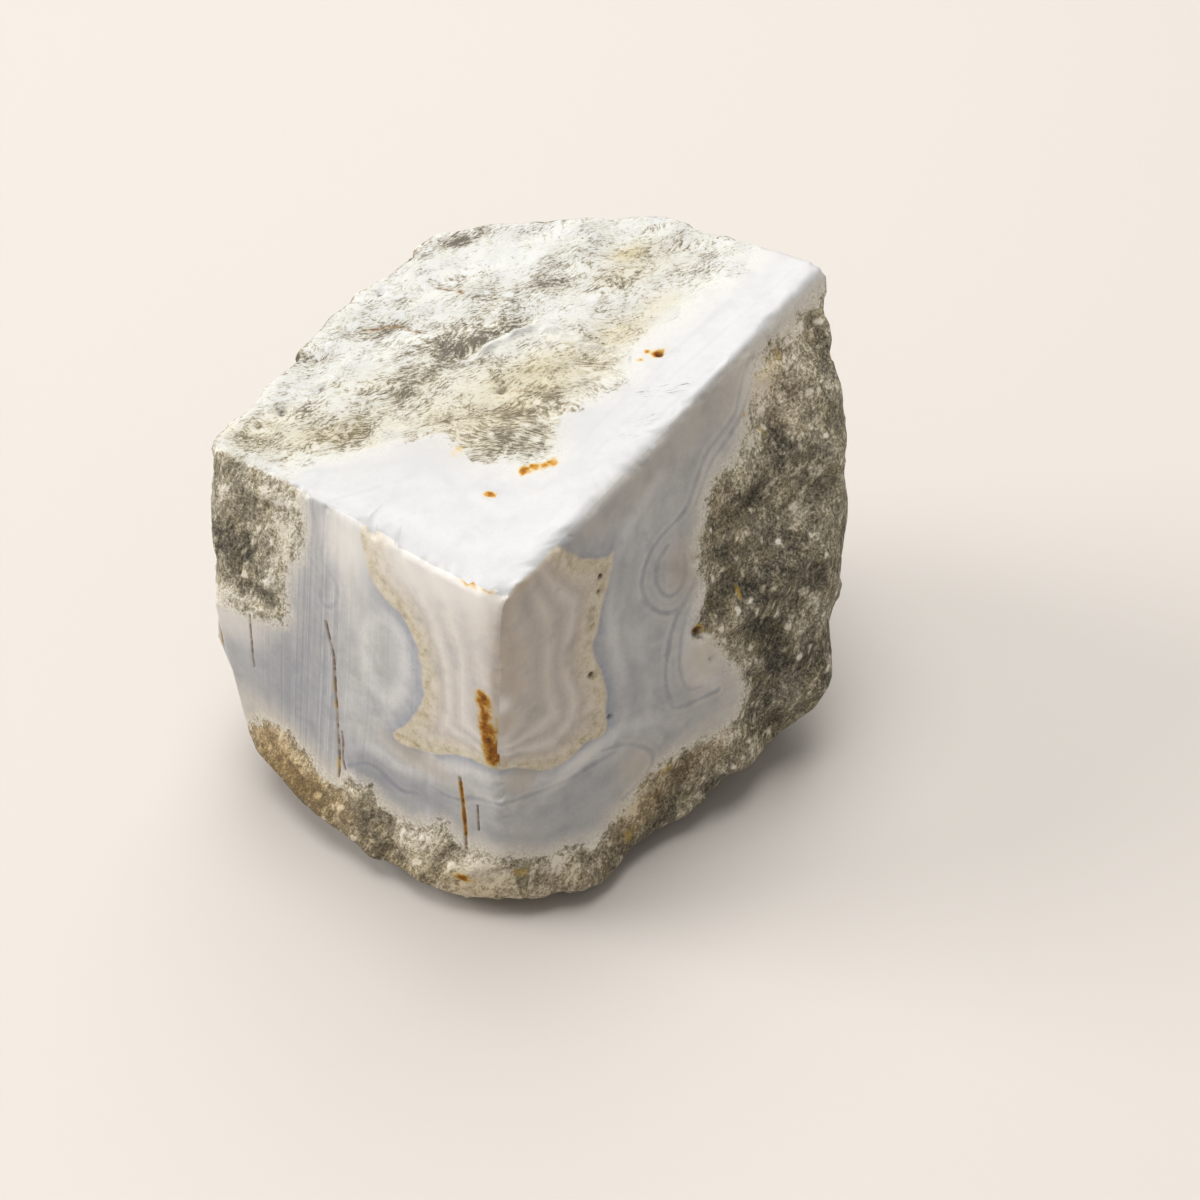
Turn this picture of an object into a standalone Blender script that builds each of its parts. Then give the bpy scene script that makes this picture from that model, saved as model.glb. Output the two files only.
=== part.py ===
"""A sawn block of blue lace agate with its host rock grown on, as one solid stone.

The stone rests on a small flat spot at z = 0. X runs to the right, Y away from the front edge, Z up.
The outline below is laid out round a point inside the block, which is centred on the origin at the end.
Three faces were sawn, the top, the front left and the front right, and they meet at the front corner.
On them the agate is flat and the host rock is plucked. Every other face is broken rock.
"""
import bpy
import bmesh
import math
from mathutils import Vector, noise

MM = 0.001
NODE_NAME = "agate_block"
COLLECTION_NAME = "blue_lace_agate"

# The block's outline at three heights, in mm. Eight columns go round it, anticlockwise from above,
# and COLUMNS says which point of a square grid each one is.
COLUMNS = {
    (-1, -1): "front",
    (0, -1): "front_right",
    (1, -1): "right",
    (1, 0): "back_right",
    (1, 1): "back",
    (0, 1): "back_left",
    (-1, 1): "left",
    (-1, 0): "front_left",
    (0, 0): "middle",
}
TOP = {
    "front": (-8.6, -46.6, 45.0),
    "front_right": (7.3, -25.6, 49.0),
    "right": (23.2, -4.6, 53.0),
    "back_right": (6.5, 7.6, 51.3),
    "back": (-18.0, 11.2, 47.2),
    "back_left": (-30.0, -1.6, 43.9),
    "left": (-38.7, -21.7, 42.8),
    "front_left": (-23.5, -34.4, 44.0),
    "middle": (-7.0, -19.0, 47.6),
}
WAIST = {
    "front": (-10.2, -46.9, 23.0),
    "front_right": (7.6, -34.0, 25.0),
    "right": (25.0, -20.5, 27.0),
    "back_right": (20.5, 5.0, 27.0),
    "back": (-12.0, 14.5, 25.0),
    "back_left": (-32.5, -3.0, 23.0),
    "left": (-40.6, -25.4, 24.0),
    "front_left": (-25.4, -37.2, 23.0),
}
BASE = {
    "front": (-8.4, -48.9, 2.4),
    "front_right": (9.4, -37.6, 2.6),
    "right": (24.6, -24.2, 6.5),
    "back_right": (18.5, 0.0, 6.5),
    "back": (-12.0, 9.5, 5.5),
    "back_left": (-31.0, -7.0, 5.0),
    "left": (-38.2, -29.8, 5.0),
    "front_left": (-25.3, -43.0, 2.4),
    "middle": (-6.5, -20.0, -3.4),
}
LEVELS = {-1: BASE, 0: WAIST, 1: TOP}
CUTS_PER_HALF = 13

# The two sawn sides are measured along from the foot of the front edge, and up.
FRONT_EDGE = Vector((-9.0, -46.8, 0.0))
LEFT_ALONG = Vector((-0.776, 0.631, 0.0))
RIGHT_ALONG = Vector((0.680, 0.733, 0.0))

# How far the agate reaches on each sawn face. The top is in plan (x, y), the sides in (along, up).
AGATE_TOP = [
    (-9, -56), (-36, -33), (-30, -27), (-24, -25.8), (-16, -23.8), (-11, -28.7), (-6, -30.4),
    (-3.7, -25), (0, -20.3), (3.2, -15), (8.7, -9.8), (12.8, -6.3), (18, -1), (32, -2),
]
AGATE_LEFT = [
    (-4, 52), (27, 52), (26, 39), (28.3, 31.5), (28, 26.6), (34, 25), (48, 24.5), (48, 12),
    (32.5, 10.8), (27.5, 12), (23, 9.6), (17, 11.5), (11, 8.8), (-4, 8.6),
]
AGATE_RIGHT = [
    (-4, 8.6), (4, 7.3), (10, 6.6), (15, 10.2), (19, 12.4), (26, 11.6), (29.5, 15), (24.8, 27.5),
    (26.5, 35), (31.5, 40.8), (36.5, 43.7), (41.5, 48.4), (52, 51), (52, 62), (-4, 62),
]
SEAM_FADE = 5.0

# Broken rock is lumpy at two sizes. The same rock on a sawn face is only plucked.
COARSE_LUMP = 13.0
FINE_LUMP = 5.0
BROKEN_COARSE = 1.3
BROKEN_FINE = 0.5
PLUCKED_COARSE = 0.5
PLUCKED_FINE = 0.7

# It parts along flat chips that tilt each their own way, of two sizes.
LARGE_CHIP = 12.0
SMALL_CHIP = 6.5
CHIP_TILT = 0.75
CHIP_STEP = 0.22
CHIP_SHARPNESS = 14.0

# Swells stand out from the block's faces, hollows are below them: centre, radius and height in mm.
SWELLS = {
    "shoulder_below_right_corner": ((25.0, -15.0, 39.0), 12.0, 2.8),
    "right_flank": ((27.0, -10.0, 26.0), 15.0, 2.2),
    "right_foot": ((25.0, -24.0, 12.0), 8.0, 2.2),
    "foot_right_of_front_edge": ((-0.5, -47.0, 3.5), 9.0, 3.6),
    "foot_left_of_front_edge": ((-16.0, -47.4, 3.9), 8.0, 2.0),
    "left_flank": ((-40.0, -23.0, 35.0), 12.0, 1.2),
    "left_foot": ((-33.0, -37.0, 5.0), 8.0, 1.0),
    "back": ((4.0, 13.0, 26.0), 17.0, 3.4),
    "back_rim": ((-2.0, 10.0, 45.0), 10.0, 1.2),
    "back_left": ((-30.0, 2.0, 22.0), 14.0, 2.4),
    "hollow_in_back": ((-15.0, 13.0, 12.0), 8.0, -2.6),
    "hollow_in_right_side": ((24.0, -1.0, 40.0), 7.0, -2.2),
    "hollow_in_back_left": ((-36.0, -10.0, 36.0), 7.0, -1.8),
    "hollow_under_left": ((-26.0, -18.0, 2.0), 9.0, -1.5),
}

# Ledges: a point on the step, the way that its high side faces, the step, and how far it reaches.
LEDGES = {
    "below_right_corner": ((23.5, -9.0, 49.6), (0.25, 0.0, -1.0), 2.4, 13.0),
    "right_side_low": ((25.0, -12.0, 14.0), (0.3, 0.2, 1.0), 1.6, 13.0),
    "top_back_left": ((-22.0, -7.5, 45.0), (0.62, -0.78, 0.0), 1.5, 8.0),
    "top_rim_left": ((-27.0, -11.5, 45.0), (0.85, -0.52, 0.0), 1.1, 7.0),
    "top_back": ((-14.5, 0.5, 47.0), (0.45, -0.89, 0.0), 1.2, 7.0),
    "back_high": ((-4.0, 14.0, 36.0), (-0.2, 0.0, -1.0), 2.0, 14.0),
    "back_low": ((10.0, 8.0, 13.0), (0.1, 0.3, 1.0), 2.0, 13.0),
    "back_left_high": ((-33.0, -8.0, 33.0), (0.2, 0.3, -1.0), 1.8, 12.0),
    "back_left_low": ((-30.0, -2.0, 12.0), (-0.2, 0.0, 1.0), 1.6, 12.0),
}
LEDGE_WIDTH = 1.4

# Broken edges are worn, and the rock close to a sawn face is calmer, so that sawn edges stay straight.
EDGE_WEAR = 0.3
WORN_FROM_SHARE = 0.6
EDGE_CALM = 0.25
CALM_REACH = 0.3

# A swell also lifts the agate a little next to its seam, and plucked rock lies a little below the saw cut.
SWELL_OVERLAP = 0.35
PLUCKED_BELOW = 0.35

# Offsets that make one noise give unrelated values, and how fast it changes from chip to chip.
FINE_LUMP_OFFSET = Vector((7.0, 3.0, 5.0))
SMALL_CHIP_OFFSET = Vector((31.0, 17.0, 5.0))
TILT_OFFSET = Vector((0.0, 0.0, 4.3))
TILT_CHANGE = 9.7
STEP_CHANGE = 5.3


def smooth_step(value):
    value = min(max(value, 0.0), 1.0)
    return value * value * (3.0 - 2.0 * value)


def fresh_collection(name):
    for old in list(bpy.data.objects):
        bpy.data.objects.remove(old, do_unlink=True)
    collection = bpy.data.collections.new(name)
    bpy.context.scene.collection.children.link(collection)
    return collection


def stone_material():
    """Rough banded agate and rock, in the mean colour of the whole stone."""
    material = bpy.data.materials.new("agate_and_host_rock")
    material.use_nodes = True
    shader = material.node_tree.nodes["Principled BSDF"]
    shader.inputs["Base Color"].default_value = (0.43, 0.42, 0.40, 1.0)
    shader.inputs["Roughness"].default_value = 0.62
    shader.inputs["Metallic"].default_value = 0.0
    return material


def lattice_weights(value):
    """How much each of the three levels -1, 0 and 1 counts at a value between them."""
    return {-1: max(-value, 0.0), 0: 1.0 - abs(value), 1: max(value, 0.0)}


def outline_point(place):
    """The block's surface at a place on the cube from -1 to 1, between the named outline points."""
    point = Vector((0.0, 0.0, 0.0))
    for up, up_share in lattice_weights(place.z).items():
        for (across, back), name in COLUMNS.items():
            share = up_share * lattice_weights(place.x)[across] * lattice_weights(place.y)[back]
            if share > 1e-6:
                point += share * Vector(LEVELS[up][name])
    return point


def block_grid():
    """A finely cut cube on the block's outline, and each point's place on the cube."""
    mesh = bmesh.new()
    bmesh.ops.create_cube(mesh, size=2.0)
    bmesh.ops.subdivide_edges(mesh, edges=mesh.edges[:], cuts=2 * CUTS_PER_HALF + 1, use_grid_fill=True)
    places = {vertex: vertex.co.copy() for vertex in mesh.verts}
    for vertex, place in places.items():
        vertex.co = outline_point(place)
    return mesh, places


def inside(point, outline):
    crossings = 0
    for start, end in zip(outline, outline[1:] + outline[:1]):
        if (start[1] > point[1]) == (end[1] > point[1]):
            continue
        share = (point[1] - start[1]) / (end[1] - start[1])
        if point[0] < start[0] + share * (end[0] - start[0]):
            crossings += 1
    return crossings % 2 == 1


def distance_outside(point, outline):
    """How far a point on a face is from the outline's area, in mm; 0 within it."""
    if inside(point, outline):
        return 0.0
    here = Vector(point)
    nearest = 1000.0
    for start, end in zip(outline, outline[1:] + outline[:1]):
        start = Vector(start)
        run = Vector(end) - start
        share = min(max((here - start).dot(run) / run.length_squared, 0.0), 1.0)
        nearest = min(nearest, (here - start - run * share).length)
    return nearest


def on_side(value, side):
    return abs(value - side) < 1e-4


def sawn_areas(point, place):
    """The sawn faces that a point lies on: its place on each, and the agate's outline there."""
    from_edge = point - FRONT_EDGE
    areas = []
    if on_side(place.z, 1):
        areas.append((point.xy, AGATE_TOP))
    if on_side(place.x, -1):
        areas.append(((from_edge.dot(LEFT_ALONG), point.z), AGATE_LEFT))
    if on_side(place.y, -1):
        areas.append(((from_edge.dot(RIGHT_ALONG), point.z), AGATE_RIGHT))
    return areas


def rock_share(areas):
    """0 on sawn agate, rising to 1 on the host rock, and 1 all over a broken face."""
    shares = [smooth_step(distance_outside(place, outline) / SEAM_FADE) for place, outline in areas]
    return min(shares, default=1.0)


def cell_tilt(centre):
    """A slope of its own for each chip."""
    return Vector([noise.noise(centre * TILT_CHANGE + axis * TILT_OFFSET) for axis in range(3)])


def chips(point, size):
    """Height of flat chips: each cell of broken rock is a plane with its own tilt and level."""
    distances, centres = noise.voronoi(point / size)
    total = 0.0
    height = 0.0
    for distance, centre in zip(distances, centres):
        weight = math.exp(CHIP_SHARPNESS * (distances[0] - distance))
        slope = (point / size - centre).dot(cell_tilt(centre))
        total += weight
        height += weight * (CHIP_TILT * slope + CHIP_STEP * noise.noise(centre * STEP_CHANGE))
    return size * height / total


def edge_calm(place):
    """Broken faces are calmer close to the sawn faces, so that the sawn edges stay straight."""
    nearest = min(place.x + 1.0, place.y + 1.0, 1.0 - place.z)
    return EDGE_CALM + (1.0 - EDGE_CALM) * smooth_step(nearest / CALM_REACH)


def lumps(point):
    """Three octaves of soft noise, between about -1 and 1."""
    return noise.fractal(point, 1.0, 2.0, 3, noise_basis="PERLIN_ORIGINAL")


def rock_relief(point, broken):
    coarse = lumps(point / COARSE_LUMP)
    fine = lumps(point / FINE_LUMP + FINE_LUMP_OFFSET)
    if not broken:
        return PLUCKED_COARSE * coarse + PLUCKED_FINE * (fine - PLUCKED_BELOW)
    chipped = chips(point, LARGE_CHIP) + chips(point + SMALL_CHIP_OFFSET, SMALL_CHIP)
    return BROKEN_COARSE * coarse + BROKEN_FINE * fine + chipped


def swells(point):
    height = 0.0
    for centre, radius, rise in SWELLS.values():
        spread = (point - Vector(centre)).length / radius
        if spread < 1.0:
            height += rise * (1.0 - spread * spread) ** 2
    return height


def ledges(point):
    height = 0.0
    for centre, facing, step, reach in LEDGES.values():
        away = point - Vector(centre)
        fade = 1.0 - smooth_step(away.length / reach)
        side = away.dot(Vector(facing).normalized()) / LEDGE_WIDTH
        height += step * fade * (smooth_step(side + 0.5) - 0.5)
    return height


def roughen(mesh, places):
    """Move every point along its face's normal by swells, ledges, lumps and chips.

    Returns the points on rough rock.
    """
    mesh.normal_update()
    moves = {}
    rough = []
    for vertex, place in places.items():
        areas = sawn_areas(vertex.co, place)
        share = rock_share(areas)
        height = swells(vertex.co) * smooth_step(share + SWELL_OVERLAP)
        relief = ledges(vertex.co) + rock_relief(vertex.co, not areas)
        height += share * relief * (1.0 if areas else edge_calm(place))
        moves[vertex] = vertex.normal * height
        if share > WORN_FROM_SHARE:
            rough.append(vertex)
    for vertex, move in moves.items():
        vertex.co += move
    return rough


def wear_edges(mesh, rough):
    """Round the corners of the broken rock a little. Sawn edges keep their corner."""
    axes = {"use_axis_x": True, "use_axis_y": True, "use_axis_z": True}
    bmesh.ops.smooth_vert(mesh, verts=rough, factor=EDGE_WEAR, **axes)


def set_on_ground(mesh):
    """Everything that would reach below the ground is worn flat there: the resting spot."""
    for vertex in mesh.verts:
        vertex.co.z = max(vertex.co.z, 0.0)


def centre_on_origin(mesh):
    """Put the middle of the block's bounding box over the origin."""
    for axis in (0, 1):
        values = [vertex.co[axis] for vertex in mesh.verts]
        middle = (min(values) + max(values)) / 2.0
        for vertex in mesh.verts:
            vertex.co[axis] -= middle


def build_block(collection):
    mesh, places = block_grid()
    rough = roughen(mesh, places)
    wear_edges(mesh, rough)
    set_on_ground(mesh)
    centre_on_origin(mesh)
    bmesh.ops.scale(mesh, vec=(MM, MM, MM), verts=mesh.verts)
    bmesh.ops.triangulate(mesh, faces=mesh.faces[:])
    bmesh.ops.recalc_face_normals(mesh, faces=mesh.faces[:])
    data = bpy.data.meshes.new(NODE_NAME)
    mesh.to_mesh(data)
    mesh.free()
    data.materials.append(stone_material())
    block = bpy.data.objects.new(NODE_NAME, data)
    collection.objects.link(block)
    return block


build_block(fresh_collection(COLLECTION_NAME))
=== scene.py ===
"""A sawn block of blue lace agate with its host rock, dressed for a close look.

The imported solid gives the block. This script cuts it finer, breaks up the host rock, opens its cracks and
pits, and lays the agate's bands, stains and mineral colours on it. Lengths here are in mm.
"""

import math
from functools import partial

import bmesh
import bpy
import numpy as np
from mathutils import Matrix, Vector, noise
from mathutils.kdtree import KDTree


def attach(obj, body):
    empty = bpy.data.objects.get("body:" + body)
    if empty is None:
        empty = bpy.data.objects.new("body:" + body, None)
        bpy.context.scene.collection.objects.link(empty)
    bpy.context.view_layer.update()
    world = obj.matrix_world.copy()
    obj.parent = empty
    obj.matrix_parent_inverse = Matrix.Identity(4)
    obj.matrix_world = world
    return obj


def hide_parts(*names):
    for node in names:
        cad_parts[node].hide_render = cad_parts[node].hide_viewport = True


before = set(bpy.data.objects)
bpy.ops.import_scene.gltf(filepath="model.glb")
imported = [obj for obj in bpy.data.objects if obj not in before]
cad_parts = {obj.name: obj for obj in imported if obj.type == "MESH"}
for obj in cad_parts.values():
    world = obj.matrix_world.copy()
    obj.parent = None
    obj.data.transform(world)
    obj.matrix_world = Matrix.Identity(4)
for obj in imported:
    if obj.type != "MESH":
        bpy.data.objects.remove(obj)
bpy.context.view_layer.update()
MM = 0.001
NODE = "agate_block"

# The three sawn faces. The sides are measured along from the foot of the front edge, and up. The top is in
# plan, from TOP_START. A broken face has no sawn plane.
TOP, LEFT, RIGHT, BROKEN = range(4)
FRONT_FOOT = np.array((-1.70, -30.13, 0.0))
FRONT_CORNER = np.array((-1.30, -29.93, 45.0))
TOP_START = np.array((0.0, 0.84, 0.0))
ALONG = {LEFT: np.array((-0.776, 0.631, 0.0)), RIGHT: np.array((0.680, 0.733, 0.0))}
OUTWARD = {
    TOP: np.array((-0.140, -0.082, 0.987)),
    LEFT: np.array((-0.631, -0.776, 0.0)),
    RIGHT: np.array((0.733, -0.680, 0.0)),
}
# A facet belongs to the sawn face that it faces most, less a cost for each mm under or over that plane, if it
# faces it this well. A rounded edge belongs to the side under it, so the top gives way a little.
SAWN_LEAST = 0.62
UNDER_COST = 0.10
OVER_COST = 0.015
TOP_YIELD = 0.16

# Where the agate meets the host rock on each sawn face. The agate is on the side of the closing points,
# which lie off the face.
SEAM = {
    TOP: [[
        (-24.5, -12.8), (-22.8, -11.8), (-22.0, -10.6), (-20.4, -10.0), (-17.7, -10.0), (-15.9, -9.2),
        (-14.3, -9.1), (-13.0, -8.3), (-11.2, -8.2), (-9.6, -8.0), (-8.4, -8.2), (-7.5, -9.5), (-6.6, -10.5),
        (-5.5, -11.4), (-4.7, -12.8), (-3.4, -13.1), (-2.2, -12.7), (-1.2, -13.4), (-0.1, -14.4),
        (1.0, -14.1), (2.0, -14.4), (3.1, -13.1), (3.4, -11.7), (3.3, -9.8), (3.5, -8.1), (4.2, -7.0),
        (5.1, -6.7), (6.3, -5.8), (8.0, -4.8), (9.8, -3.2), (10.4, -1.3), (10.2, 0.5), (11.0, 1.9),
        (12.1, 2.9), (13.1, 4.0), (14.4, 4.7), (15.9, 6.0), (16.6, 7.6), (17.9, 9.0), (19.2, 9.6),
        (20.8, 10.0), (22.1, 11.5), (23.1, 13.1), (24.0, 16.0),
    ]],
    LEFT: [
        [
            (26.5, 46.0), (26.5, 42.3), (26.1, 40.8), (25.8, 39.2), (26.2, 37.2), (26.5, 35.6), (27.8, 34.3),
            (28.3, 32.2), (28.2, 30.0), (27.6, 28.3), (28.3, 26.7), (30.1, 26.0), (31.8, 25.5), (33.5, 25.2),
            (35.3, 25.1), (37.0, 24.7), (41.0, 24.6),
        ],
        [
            (41.0, 5.0), (34.6, 8.2), (33.1, 10.0), (31.7, 11.5), (30.2, 12.1), (28.3, 12.3), (26.8, 12.6),
            (25.8, 11.9), (24.7, 11.5), (23.5, 11.3), (22.9, 10.3), (21.3, 10.1), (20.0, 10.2), (18.8, 11.2),
            (17.7, 12.2), (16.4, 12.0), (15.4, 12.6), (14.6, 11.8), (13.9, 10.8), (13.0, 10.3), (12.0, 10.1),
            (10.9, 9.7), (9.8, 9.2), (8.7, 10.3), (7.6, 10.5), (6.7, 11.4), (5.9, 10.1), (4.8, 9.4),
            (3.5, 9.2), (2.4, 9.7), (1.0, 9.2), (-2.0, 9.4),
        ],
    ],
    RIGHT: [[
        (-2.0, 9.4), (-0.7, 9.7), (0.7, 8.7), (2.8, 7.7), (4.6, 7.9), (7.2, 6.8), (9.4, 6.8), (11.1, 8.1),
        (12.8, 9.3), (14.7, 10.6), (16.6, 11.8), (18.8, 12.6), (21.1, 12.5), (23.2, 12.2), (25.7, 11.9),
        (27.8, 12.5), (28.5, 14.2), (29.4, 15.3), (28.7, 18.1), (27.2, 21.2), (26.2, 23.8), (25.0, 26.0),
        (24.7, 27.8), (25.5, 29.1), (26.3, 31.0), (26.2, 33.4), (26.6, 35.5), (27.9, 37.1), (28.6, 39.0),
        (30.1, 40.2), (31.8, 40.7), (33.6, 40.8), (35.0, 42.3), (36.7, 43.7), (37.6, 45.4), (38.6, 47.0),
        (39.9, 48.3), (41.7, 48.7), (43.9, 48.1), (46.1, 48.7), (47.8, 49.9), (49.3, 50.8), (54.0, 51.2),
    ]],
}
SEAM_CLOSING = {
    TOP: [(45, 16), (45, -60), (-45, -60), (-45, -12.8)],
    LEFT: [(-2, 60), (26.5, 60)],
    RIGHT: [(54, 70), (-2, 70)],
}

# The cream agate round the front edge ends at a crest. Its closing points lie past the edge and the top.
CREST = {
    LEFT: [
        (18.3, 43.5), (18.0, 41.9), (17.5, 40.9), (17.1, 39.3), (16.1, 37.7), (14.7, 36.9), (13.0, 36.4),
        (11.7, 35.3), (10.8, 33.8), (10.1, 32.2), (9.7, 30.3), (9.5, 28.4), (9.6, 26.5), (10.3, 24.5),
        (11.4, 22.7), (12.7, 21.2), (13.4, 20.0), (12.0, 19.5), (10.3, 19.8), (8.3, 20.3), (6.2, 21.4),
        (4.0, 22.1), (1.5, 22.0), (-2.0, 22.0),
    ],
    RIGHT: [
        (7.6, 48.0), (8.2, 45.6), (9.8, 43.7), (11.7, 41.7), (13.7, 40.4), (14.9, 40.1), (15.9, 40.6),
        (15.4, 39.2), (14.6, 37.5), (13.6, 36.2), (13.1, 34.5), (12.2, 32.8), (11.4, 31.0), (11.5, 29.1),
        (12.1, 27.1), (12.3, 25.0), (11.9, 22.9), (11.8, 20.2), (10.7, 19.5), (9.1, 20.0), (7.9, 19.3),
        (6.3, 18.7), (4.5, 18.7), (2.6, 20.2), (0.4, 21.7), (-2.0, 22.0),
    ],
}
CREST_CLOSING = {LEFT: [(-2, 60), (18.3, 60)], RIGHT: [(-2, 60), (7.6, 60)]}

# Dark lace lines, drawn along their middle.
LACE = {
    TOP: [
        [(-18.7, -15.8), (-13.9, -14.7), (-10.1, -13.4), (-7.1, -15.2), (-3.1, -18.0), (0.8, -20.8),
         (3.5, -18.6), (7.3, -12.5), (12.2, -6.3), (17.3, -0.3), (23.5, 6.3), (27.4, 10.6)],
        [(-14.0, -20.5), (-11.4, -19.3), (-8.9, -17.9), (-4.9, -21.2), (-0.6, -23.9), (2.2, -23.3),
         (5.4, -19.3), (9.2, -13.9), (14.1, -7.7), (19.2, -2.1)],
        [(-8.1, -13.3), (-5.9, -15.0), (-3.2, -16.5), (-0.7, -18.4), (2.1, -17.5), (4.9, -12.6), (7.3, -8.8),
         (11.2, -4.4), (15.3, 0.8), (20.5, 6.8)],
    ],
    LEFT: [
        [(24.9, 44.5), (24.8, 42.6), (24.2, 41.0), (24.4, 39.1), (25.1, 37.3), (24.6, 36.1), (23.5, 35.5)],
        [(23.0, 44.5), (23.0, 42.7), (22.7, 40.8), (23.0, 38.9), (23.4, 37.1), (22.4, 36.4), (21.2, 35.5),
         (20.7, 34.4), (21.0, 32.8), (22.1, 31.8), (23.1, 32.0), (23.2, 33.4)],
        [(18.2, 13.8), (16.3, 15.3), (14.7, 15.3), (13.1, 14.3), (11.7, 13.5), (10.0, 14.0)],
        [(8.2, 15.8), (6.8, 15.3), (5.2, 15.4), (3.3, 16.8), (-1.0, 17.4)],
    ],
    RIGHT: [
        [(48.1, 52.2), (45.5, 51.7), (42.6, 51.2), (40.2, 50.5), (38.5, 49.4), (37.3, 48.3), (36.5, 47.2),
         (35.7, 46.3), (35.1, 45.3), (33.6, 44.7), (32.2, 44.2), (30.8, 43.8), (29.5, 43.2), (28.7, 42.3),
         (27.6, 41.2), (26.6, 40.0), (25.3, 39.2), (23.6, 38.8), (22.2, 38.4), (20.7, 37.7), (19.6, 36.7),
         (18.7, 35.3), (18.4, 33.8), (18.8, 32.3), (19.7, 30.8), (20.8, 29.9), (22.1, 29.6), (23.3, 29.9),
         (24.3, 30.8), (25.1, 31.7)],
        [(48.7, 51.2), (46.0, 50.5), (43.2, 50.1), (41.1, 49.7), (39.5, 48.9), (38.3, 47.8), (37.5, 46.5),
         (36.3, 45.2), (35.0, 44.3), (33.6, 43.6), (31.9, 43.0), (30.5, 42.4), (29.3, 41.5), (28.2, 40.3),
         (27.3, 39.3)],
        [(22.7, 37.0), (21.1, 36.1), (20.3, 34.4), (20.6, 32.6), (21.6, 31.4), (23.0, 31.6), (24.2, 33.0),
         (24.4, 34.9)],
        [(25.0, 31.4), (23.7, 30.5), (22.3, 29.4), (21.2, 28.1), (20.3, 26.4), (19.6, 24.7), (19.2, 22.6),
         (19.3, 20.4), (19.6, 18.6), (21.2, 18.0), (23.4, 17.8), (25.5, 17.6)],
        [(24.1, 29.6), (22.9, 28.3), (21.9, 26.5), (21.2, 24.4), (21.1, 22.0), (21.7, 19.8), (23.5, 19.3)],
        [(10.8, 17.8), (13.1, 17.4), (15.3, 15.9), (16.6, 14.1), (16.1, 12.5), (14.3, 11.2), (12.3, 10.1)],
        [(-1.0, 17.4), (1.5, 17.0), (4.3, 16.4), (7.1, 16.4), (9.7, 16.7), (12.1, 16.7)],
    ],
}

# Milk-white bands.
MILK = {
    LEFT: [
        [(18.0, 15.9), (16.5, 17.2), (15.0, 17.3), (13.5, 16.7), (12.1, 16.4), (10.5, 16.8), (8.7, 18.0),
         (6.8, 19.2), (4.8, 19.9), (2.7, 20.4), (-1.0, 20.6)],
        [(8.6, 19.7), (8.4, 17.7), (8.2, 15.7), (8.5, 13.3), (8.8, 11.0)],
        [(17.2, 30.0), (16.6, 33.4), (14.6, 35.0), (12.5, 33.4), (11.8, 30.0), (12.3, 26.2), (14.2, 24.0),
         (16.6, 25.8), (17.2, 30.0)],
    ],
    RIGHT: [
        [(23.0, 44.6), (19.0, 42.6), (15.9, 40.0), (15.0, 36.6), (13.9, 33.0), (14.2, 28.0), (14.3, 23.0)],
        [(-1.0, 20.6), (2.0, 18.9), (5.0, 17.8), (8.0, 18.1), (10.6, 18.4), (14.0, 19.4), (17.4, 18.4)],
        [(25.8, 30.0), (24.2, 28.6), (22.6, 26.2), (22.2, 24.0), (22.3, 21.6), (23.3, 20.4), (25.2, 18.8)],
    ],
}

# Cracks with rusty or dark filling: the line, then half its width.
CRACKS = {
    LEFT: [
        ([(22.3, 29.9), (21.7, 28.0), (21.1, 26.4), (20.9, 24.4), (20.7, 22.2), (20.3, 20.0), (20.1, 18.3),
          (19.8, 16.4), (19.6, 14.6), (19.4, 12.9), (19.5, 11.4)], 0.17),
        ([(19.4, 17.5), (19.1, 16.1), (19.1, 14.3), (18.6, 13.0)], 0.12),
        ([(33.0, 25.1), (32.8, 23.3), (32.7, 21.3), (32.6, 19.7), (32.4, 18.5)], 0.12),
        ([(38.2, 20.6), (38.0, 19.2), (37.8, 18.0)], 0.24),
        ([(5.1, 18.6), (4.8, 16.7), (4.6, 14.7), (4.3, 12.4), (4.2, 10.3), (4.0, 9.1)], 0.17),
        ([(3.0, 15.7), (2.9, 13.9), (2.8, 12.2)], 0.11),
    ],
    TOP: [
        ([(-17.6, 11.5), (-16.1, 11.7), (-13.9, 11.4), (-11.5, 9.1)], 0.20),
        ([(-10.1, 16.7), (-8.7, 15.7), (-7.3, 13.9)], 0.24),
    ],
}

# Pits: middle, radius and depth, which also sets how dark their painted shade is.
PITS = {
    TOP: [
        ((-2.6, -1.9), 0.7, 0.65), ((-21.6, 1.9), 0.6, 0.7), ((-25.2, -0.9), 0.7, 0.7),
        ((-16.5, 17.3), 0.55, 0.6), ((13.3, 0.0), 0.45, 0.5),
    ],
    RIGHT: [
        ((24.2, 25.9), 0.9, 0.9), ((11.0, 27.6), 0.35, 0.9), ((13.7, 38.4), 0.35, 0.8),
        ((13.3, 36.9), 0.28, 0.8), ((12.4, 21.4), 0.3, 0.7), ((25.2, 21.9), 0.5, 0.4),
        ((25.8, 33.6), 0.5, 0.4),
    ],
}

# A pale vein stands a little out of the rock, and a groove beside it takes the vein's painted shadow: the
# line, half its width and its height, which also makes it paler, or below 0 darker with painted shadow.
VEIN_PALENESS = 3.5
VEINS = {
    TOP: [
        ([(-6.7, 3.4), (-5.0, 4.0), (-3.2, 4.8), (-1.6, 5.7), (0.1, 6.8), (1.6, 6.7), (3.5, 4.8), (5.3, 3.6),
          (7.0, 2.6), (9.3, 2.2)], 0.50, 0.34),
        # This groove is the raised vein's shadow, painted dark beside it.
        ([(-7.0, 4.6), (-5.2, 5.1), (-3.4, 6.0), (-1.8, 6.9), (0.0, 8.0)], 0.60, -0.24),
        ([(-21.5, -9.0), (-19.6, -6.6), (-18.4, -3.6)], 0.45, 0.15),
    ],
}

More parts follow.
